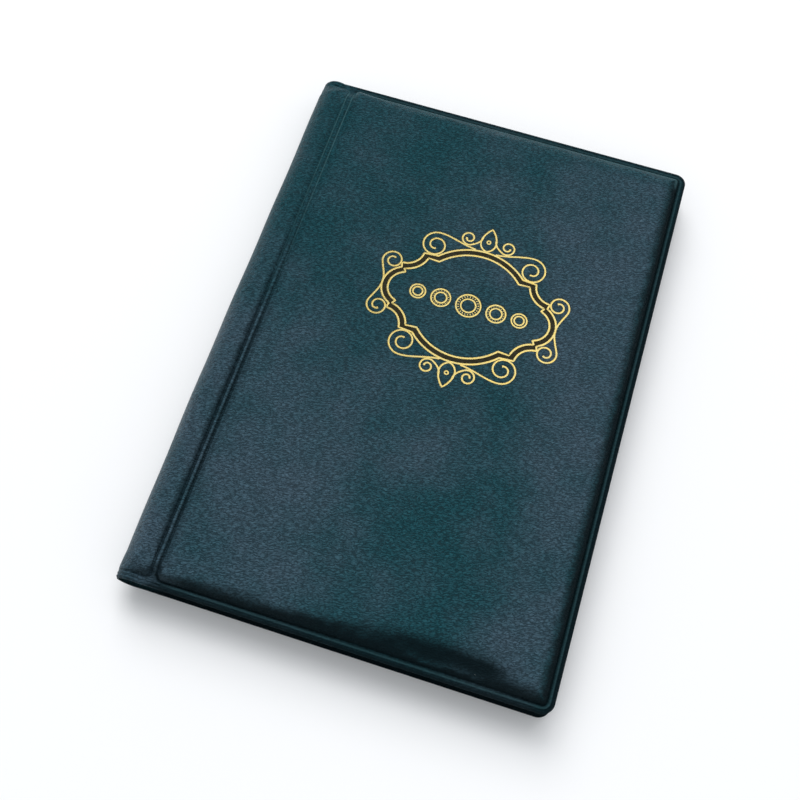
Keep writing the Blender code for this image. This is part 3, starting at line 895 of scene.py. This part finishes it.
def gutter_pieces(skin_paint, liner_paint):
    """The stretch between the spine and the board: shoulder padding, grooves and ridge."""
    middle = lines_between(BEND_START, BEND_END, [(STRIP_END - 1, PANEL_START + 1)], 0.16, 0.4)
    alongs = seamed(middle)
    for side, sign in (("front", 1), ("back", -1)):
        skin = strip_piece(f"{side}_gutter", sign * alongs, outer_height, skin_floor)
        liner = strip_piece(f"{side}_gutter_liner", sign * alongs, liner_top, inner_height)
        nodes = [f"{side}_shoulder_skin", f"{side}_shoulder_foam", f"{side}_gutter_weld"]
        dress(skin, skin_paint, "cover_skin", *nodes)
        dress(liner, liner_paint, "cover_liner", f"{side}_shoulder_liner")
        for piece in (skin, liner):
            if side == "front":
                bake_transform(piece)
            else:
                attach(piece, "back_cover")


# --- the pages and the inner pieces -------------------------------------------------------------


def node_vector(tree):
    """The place of a CAD node's surface in its body's frame, in millimetres."""
    place_of = add_node(tree, "TexCoord").outputs["Object"]
    return scaled(tree, place_of, (1 / MM,) * 3)


COLUMNS, ROWS = 3, 4  # of pockets on a page
RIB = 1.2  # width of the weld between two pockets
HATCH_SCALE = 3.6  # squares of cross-hatching per millimetre of the weld


def near_rib(tree, coordinate, low, high, count):
    """1 on the evenly spaced weld ribs along one direction of a page, and 0 between them."""
    pitch = (high - low - RIB) / count
    shifted = math_node(tree, "SUBTRACT", coordinate, low)
    along = math_node(tree, "FRACT", math_node(tree, "DIVIDE", shifted, pitch))
    from_middle = math_node(tree, "SUBTRACT", along, RIB / 2 / pitch)
    distance = math_node(tree, "PINGPONG", from_middle, 0.5)
    return ramp(tree, distance, 0.35 * RIB / pitch, 0.65 * RIB / pitch, 1.0, 0.0)


def pocket_film_paint():
    """Clear PVC film, frosted by the tool's cross-hatching along its weld ribs."""
    material, tree, shader = start_material("clear_film", roughness=0.12)
    vector = node_vector(tree)
    parts = add_node(tree, "SeparateXYZ", {0: vector}).outputs
    across = near_rib(tree, parts["X"], FILM_LOW[0], FILM_HIGH[0], COLUMNS)
    up = near_rib(tree, parts["Y"], FILM_LOW[1], FILM_HIGH[1], ROWS)
    weld = math_node(tree, "MAXIMUM", across, up)
    hatched = scaled(tree, scaled(tree, vector, (1, 1, 1), turn=45), (HATCH_SCALE,) * 3)
    hatch = add_node(tree, "TexChecker", {"Vector": hatched, "Scale": 1.0}).outputs["Fac"]
    mark = math_node(tree, "MULTIPLY", weld, sum_node(tree, hatch, 0.35, 0.65))
    colour = blend_colours(tree, mark, (0.84, 0.90, 0.93), (0.46, 0.54, 0.58))
    tree.links.new(colour, shader.inputs["Base Color"])
    tree.links.new(ramp(tree, weld, 0.0, 1.0, 0.10, 0.45), shader.inputs["Roughness"])
    tree.links.new(sum_node(tree, mark, 0.62, 0.20), shader.inputs["Alpha"])
    shader.inputs["IOR"].default_value = 1.45
    ripple = noise(tree, vector, 0.06, 2).outputs["Fac"]
    height = sum_node(tree, hatch, 0.12, ripple)
    bump = add_node(tree, "Bump", {"Height": height, "Distance": 0.5 * MM, "Strength": 0.5})
    tree.links.new(bump.outputs[0], shader.inputs["Normal"])
    return material


def plain_paint(name, dark, light, roughness, scale, depth):
    """A matt or satin surface with a fine mottle in its colour, gloss and height."""
    material, tree, shader = start_material(name)
    vector = node_vector(tree)
    mottle = noise(tree, vector, scale, 4, 0.6).outputs["Fac"]
    colour = blend_colours(tree, ramp(tree, mottle, 0.3, 0.7), dark, light)
    tree.links.new(colour, shader.inputs["Base Color"])
    tree.links.new(
        ramp(tree, mottle, 0.25, 0.75, roughness - 0.05, roughness + 0.08),
        shader.inputs["Roughness"],
    )
    bump = add_node(tree, "Bump", {"Height": mottle, "Distance": depth * MM, "Strength": 0.8})
    tree.links.new(bump.outputs[0], shader.inputs["Normal"])
    return material


def foam_paint():
    return plain_paint("foam", (0.52, 0.52, 0.50), (0.70, 0.70, 0.67), 0.95, 1.6, 0.3)


def paint_nodes():
    film = pocket_film_paint()
    back = plain_paint("page_back", (0.71, 0.73, 0.73), (0.75, 0.77, 0.77), 0.35, 0.4, 0.01)
    stub = plain_paint("page_stub", (0.62, 0.63, 0.62), (0.72, 0.73, 0.72), 0.45, 1.5, 0.03)
    tape = plain_paint("tape", (0.010, 0.024, 0.030), (0.018, 0.038, 0.045), 0.5, 3.0, 0.04)
    board = plain_paint("board", (0.24, 0.21, 0.17), (0.36, 0.33, 0.27), 0.9, 2.0, 0.08)
    endings = {
        "pocket_film": film,
        "back_sheet": back,
        "stub": stub,
        "block": stub,
        "tape": tape,
        "board": board,
    }
    for name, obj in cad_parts.items():
        for ending, paint in endings.items():
            if name.endswith(ending):
                obj.data.materials.clear()
                obj.data.materials.append(paint)


# --- stage, lights and camera -------------------------------------------------------------------


FLOOR_HALF = 9.0  # metres
FLOOR_GAP = 0.1  # under the album, so that the two don't share a plane


def make_floor():
    half = FLOOR_HALF
    mesh = bpy.data.meshes.new("floor")
    corners = [(-half, -half, 0), (half, -half, 0), (half, half, 0), (-half, half, 0)]
    mesh.from_pydata(corners, [], [(0, 1, 2, 3)])
    floor = bpy.data.objects.new("floor", mesh)
    bpy.context.scene.collection.objects.link(floor)
    floor.location.z = -FLOOR_GAP * MM
    material, tree, shader = start_material("floor_paint", roughness=0.9)
    vector = add_node(tree, "TexCoord").outputs["Object"]
    tone = noise(tree, vector, 3.0, 2).outputs["Fac"]
    colour = blend_colours(tree, tone, (0.90, 0.90, 0.90), (0.93, 0.93, 0.93))
    tree.links.new(colour, shader.inputs["Base Color"])
    shader.inputs["Specular IOR Level"].default_value = 0.1
    mesh.materials.append(material)


def add_light(name, place_at, size, power, colour=(1, 1, 1)):
    """A square soft light that faces the album."""
    light = bpy.data.lights.new(name, "AREA")
    light.size = size
    light.energy = power
    light.color = colour
    obj = bpy.data.objects.new(name, light)
    bpy.context.scene.collection.objects.link(obj)
    obj.location = place_at
    obj.rotation_euler = (-Vector(place_at)).to_track_quat("-Z", "Y").to_euler()
    return obj


def make_lights():
    world = bpy.data.worlds.new("studio")
    world.use_nodes = True
    bpy.context.scene.world = world
    tree = world.node_tree
    room = tree.nodes["Background"]
    room.inputs["Color"].default_value = (0.94, 0.97, 1.0, 1)
    room.inputs["Strength"].default_value = 0.66
    dim = add_node(tree, "Background", {"Color": (0.8, 0.9, 1.0, 1), "Strength": 0.05})
    seen = add_node(tree, "Background", {"Color": (1, 1, 1, 1), "Strength": 1.0})
    path = add_node(tree, "LightPath")
    lit = add_node(
        tree, "MixShader",
        {0: path.outputs["Is Glossy Ray"], 1: room.outputs[0], 2: dim.outputs[0]},
    )
    mix = add_node(
        tree, "MixShader",
        {0: path.outputs["Is Camera Ray"], 1: lit.outputs[0], 2: seen.outputs[0]},
    )
    tree.links.new(mix.outputs[0], tree.nodes["World Output"].inputs[0])
    key = add_light("key", (-1.2, 2.3, 2.5), 2.4, 66)
    key.visible_glossy = False
    add_light("softbox", (0.25, 1.35, 2.9), 1.7, 22, (0.97, 0.97, 1.0))
    bpy.context.scene.view_settings.view_transform = "Standard"


CAMERA_AZIMUTH = 14.05  # degrees from the foot's side towards the fore edge
CAMERA_ELEVATION = 67.2
CAMERA_ROLL = 3.74
CAMERA_LENS = 48.1
CAMERA_PLACE = (30.0, -149.9, 338.8)


def make_camera():
    data = bpy.data.cameras.new("camera")
    data.lens = CAMERA_LENS
    data.clip_start = 0.01
    camera = bpy.data.objects.new("camera", data)
    bpy.context.scene.collection.objects.link(camera)
    bpy.context.scene.camera = camera
    azimuth, elevation = math.radians(CAMERA_AZIMUTH), math.radians(CAMERA_ELEVATION)
    flat = math.cos(elevation)
    back = Vector((flat * math.sin(azimuth), -flat * math.cos(azimuth), math.sin(elevation)))
    right = Vector((0, 0, 1)).cross(back).normalized()
    up = back.cross(right)
    roll = math.radians(CAMERA_ROLL)
    new_right = right * math.cos(roll) + up * math.sin(roll)
    new_up = back.cross(new_right)
    turn = Matrix((new_right, new_up, back)).transposed().to_4x4()
    camera.matrix_world = Matrix.Translation(Vector(CAMERA_PLACE) * MM) @ turn


# --- everything ---------------------------------------------------------------------------------


def make_album():
    skin = leather("cover_skin", (0.0070, 0.051, 0.064), (0.0410, 0.071, 0.096), 0.38, 0.18)
    liner = leather("cover_liner", (0.0020, 0.026, 0.032), (0.006, 0.033, 0.042), 0.5, 0.05)
    cover_pieces(skin, liner, foam_paint())
    spine_pieces(skin, liner)
    gutter_pieces(skin, liner)
    paint_nodes()


make_camera()
make_lights()
make_floor()
make_album()
